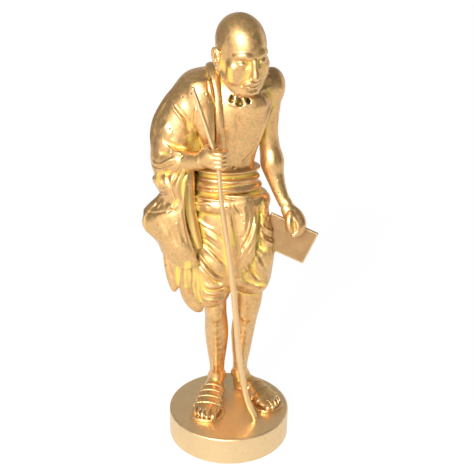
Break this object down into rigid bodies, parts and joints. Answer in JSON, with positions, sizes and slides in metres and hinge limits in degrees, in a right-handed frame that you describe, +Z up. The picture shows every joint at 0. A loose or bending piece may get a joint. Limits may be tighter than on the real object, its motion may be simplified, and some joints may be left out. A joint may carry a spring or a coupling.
{
  "type": "figure statue",
  "caption": "Cast brass figure of a stooped walking man with staff, shawl and book on a round hollow plinth.",
  "frame": {"origin": "centre of the plinth's underside, on the surface that it stands on", "axes": "+Z up, the figure faces -Y, +X to the viewer's right"},
  "size_m": [0.1686, 0.124, 0.4278],
  "materials": {
    "figure_brass": "polished cast brass with patina in its recesses",
    "cloth_brass": "polished cast brass with pits and yellow-green patina",
    "staff_brass": "satin drawn brass",
    "sandal_brass": "polished cast brass",
    "book_brass": "satin cast brass",
    "plinth_brass": "turned and polished cast brass",
    "fixing_steel": "plain zinc-plated steel",
    "dowel_brass": "drawn brass rod"
  },
  "bodies": {
    "figure": {"right_leg": "figure_brass", "left_leg": "figure_brass", "torso": "figure_brass", "head": "figure_brass", "left_arm": "figure_brass", "left_hand": "figure_brass", "right_forearm": "figure_brass", "right_fist": "figure_brass", "dhoti_skirt": "cloth_brass", "dhoti_panel": "cloth_brass", "dhoti_tail": "cloth_brass", "waist_sash": "cloth_brass", "shawl_mantle": "cloth_brass", "shawl_band": "cloth_brass", "shawl_back": "cloth_brass", "shawl_fall": "cloth_brass", "shawl_lobes": "cloth_brass", "staff_lower": "staff_brass", "staff_foot_pin": "staff_brass", "right_sandal_sole": "sandal_brass", "left_sandal_sole": "sandal_brass", "right_sandal_straps": "sandal_brass", "left_sandal_straps": "sandal_brass", "sandal_stud": "sandal_brass", "book": "book_brass", "plinth_shell": "plinth_brass", "foot_studs": "fixing_steel", "stud_washers": "fixing_steel", "stud_nuts": "fixing_steel", "neck_dowel": "dowel_brass", "shoulder_dowel": "dowel_brass", "wrist_dowel": "dowel_brass"},
    "staff_top": {"staff_upper": "staff_brass"}
  },
  "joints": [
    {"name": "staff_lift", "type": "slide", "parent": "figure", "child": "staff_top", "axis": [-0.3161, -0.0257, 0.9484], "range_m": [0, 0.01]}
  ]
}
